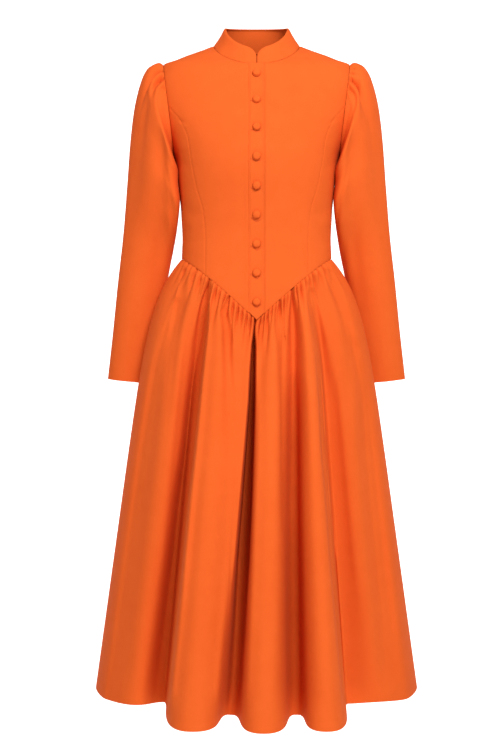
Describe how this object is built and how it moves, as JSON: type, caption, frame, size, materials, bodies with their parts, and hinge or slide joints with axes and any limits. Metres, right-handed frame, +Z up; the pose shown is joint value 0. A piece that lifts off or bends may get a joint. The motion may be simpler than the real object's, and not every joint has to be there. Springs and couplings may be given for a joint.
{
  "type": "dress",
  "caption": "Long-sleeved midi dress with a band collar, buttoned placket, fitted princess-seam bodice, gathered sleeve caps and a skirt gathered on to a V-shaped waist seam.",
  "frame": {"origin": "on the centre line, level with the points where neckline and shoulder seams meet: where the wearer's shoulders hold the dress", "axes": "+Z up along the dress, from hem to neck; the front faces -Y; the wearer's left is +X and right is -X"},
  "size_m": [0.622, 0.561, 1.2737],
  "materials": {
    "front_centre_right": "plain bright orange crepe cloth, matte",
    "front_centre_left": "plain bright orange crepe cloth, matte",
    "front_side_right": "plain bright orange crepe cloth, matte",
    "front_side_left": "plain bright orange crepe cloth, matte",
    "back_bodice": "plain bright orange crepe cloth, matte",
    "placket": "plain bright orange crepe cloth, matte",
    "button_1": "orange cloth-covered button, matte",
    "button_2": "orange cloth-covered button, matte",
    "button_3": "orange cloth-covered button, matte",
    "button_4": "orange cloth-covered button, matte",
    "button_5": "orange cloth-covered button, matte",
    "button_6": "orange cloth-covered button, matte",
    "button_7": "orange cloth-covered button, matte",
    "button_8": "orange cloth-covered button, matte",
    "button_9": "orange cloth-covered button, matte",
    "collar": "plain bright orange crepe cloth, matte",
    "sleeve_right": "plain bright orange crepe cloth, matte",
    "sleeve_left": "plain bright orange crepe cloth, matte",
    "skirt_front": "plain bright orange crepe cloth, matte",
    "skirt_back": "plain bright orange crepe cloth, matte"
  },
  "bodies": {
    "root": {"front_centre_right": "front_centre_right", "front_centre_left": "front_centre_left", "front_side_right": "front_side_right", "front_side_left": "front_side_left", "back_bodice": "back_bodice", "placket": "placket", "button_1": "button_1", "button_2": "button_2", "button_3": "button_3", "button_4": "button_4", "button_5": "button_5", "button_6": "button_6", "button_7": "button_7", "button_8": "button_8", "button_9": "button_9", "collar": "collar", "sleeve_right": "sleeve_right", "sleeve_left": "sleeve_left", "skirt_front": "skirt_front", "skirt_back": "skirt_back"}
  },
  "joints": []
}
